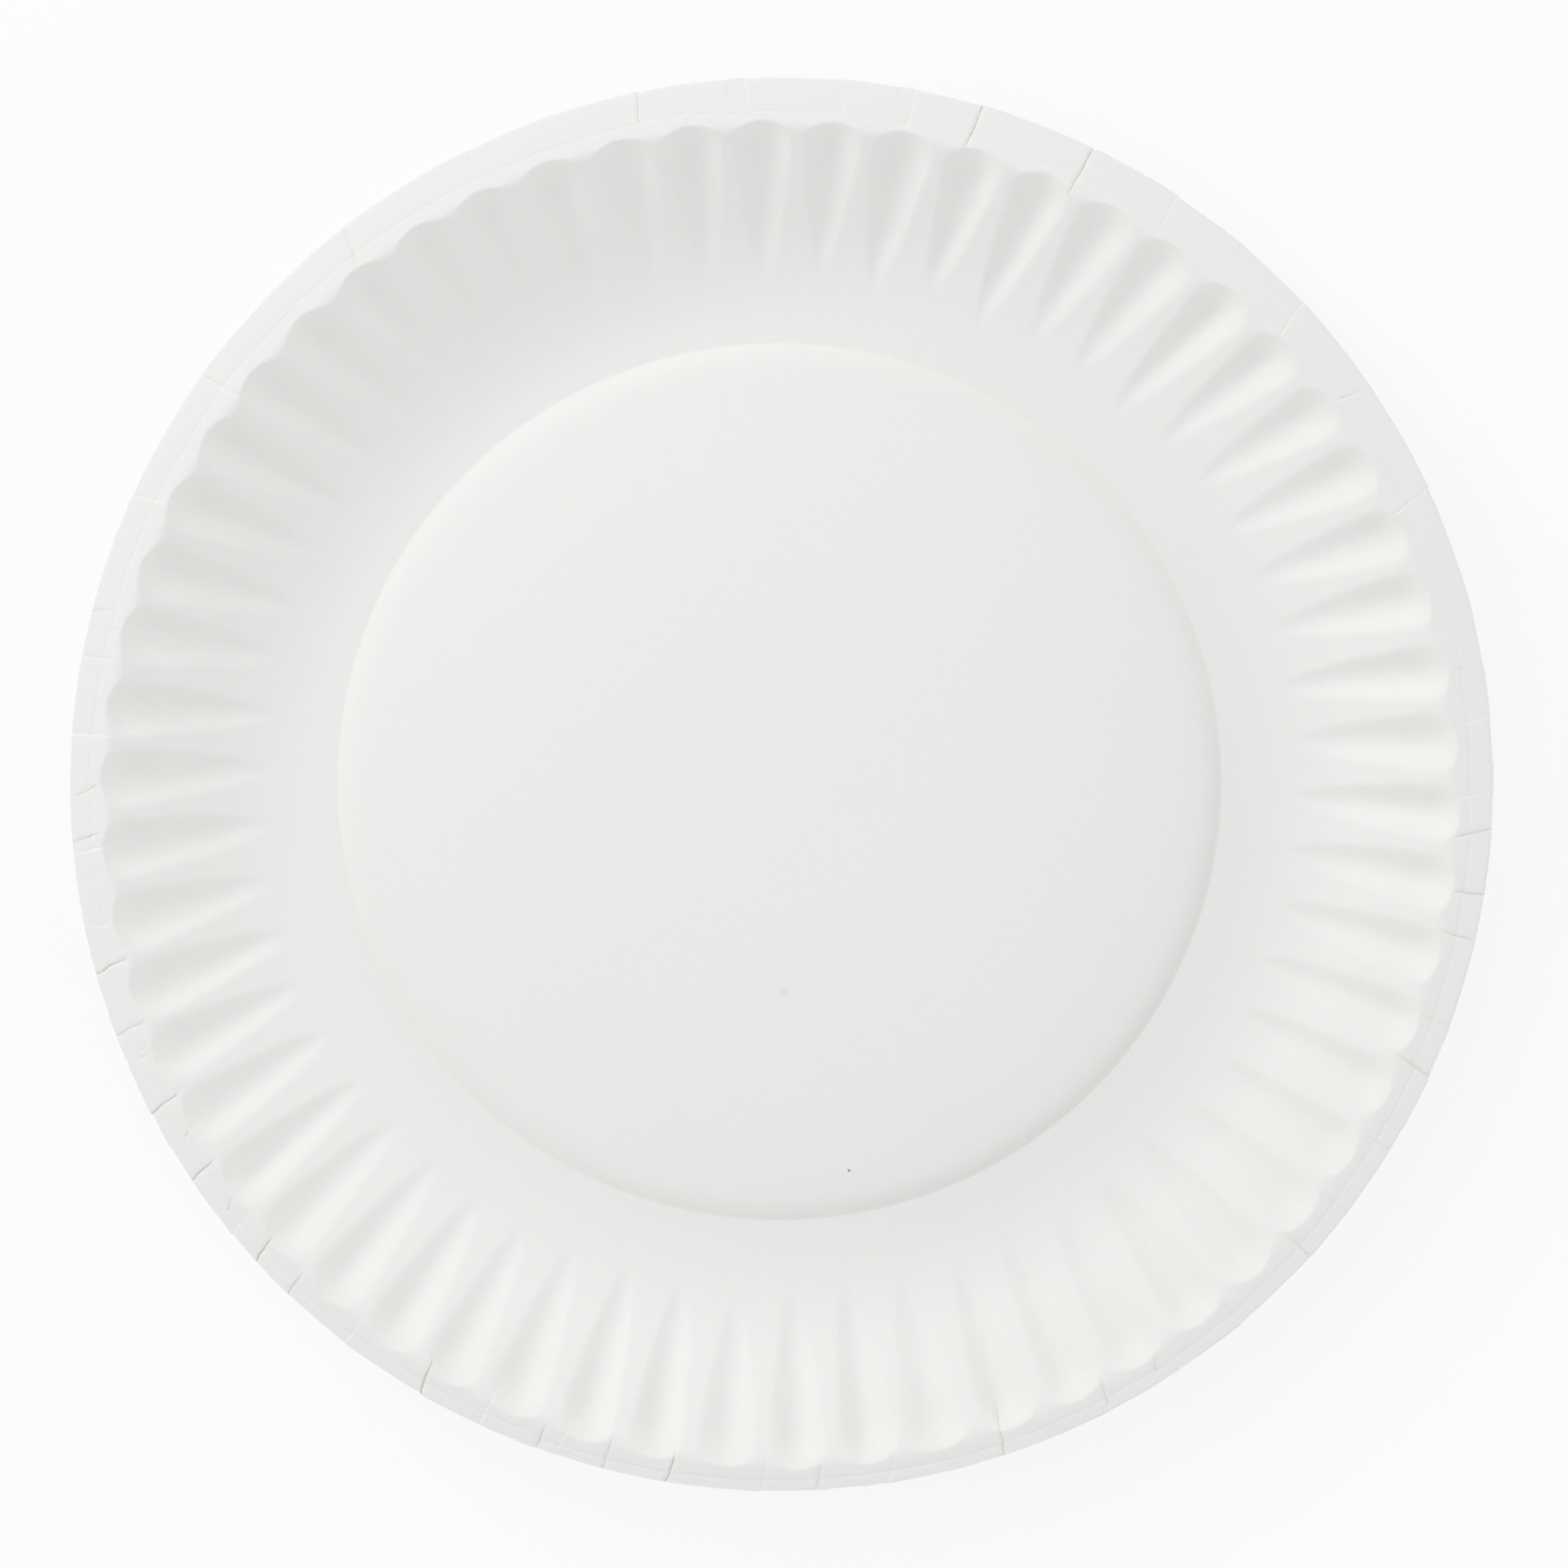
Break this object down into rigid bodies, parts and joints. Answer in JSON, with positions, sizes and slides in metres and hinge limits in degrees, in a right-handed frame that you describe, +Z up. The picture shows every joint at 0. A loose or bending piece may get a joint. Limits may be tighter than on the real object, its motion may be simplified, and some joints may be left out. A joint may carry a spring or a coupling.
{
  "type": "paper plate",
  "caption": "Round paper plate with a raised round panel, a curved wall of pressed flutes and a narrow rim that turns down at its cut edge.",
  "frame": {"origin": "on the surface that the plate stands on, under the middle of its round cut edge", "axes": "+Z up out of the plate's open side; +Y towards the side where the rim is widest"},
  "size_m": [0.2286, 0.2286, 0.019],
  "materials": {
    "paper_board": "uncoated white paper board, matt"
  },
  "bodies": {
    "root": {"plate": "paper_board"}
  },
  "joints": []
}
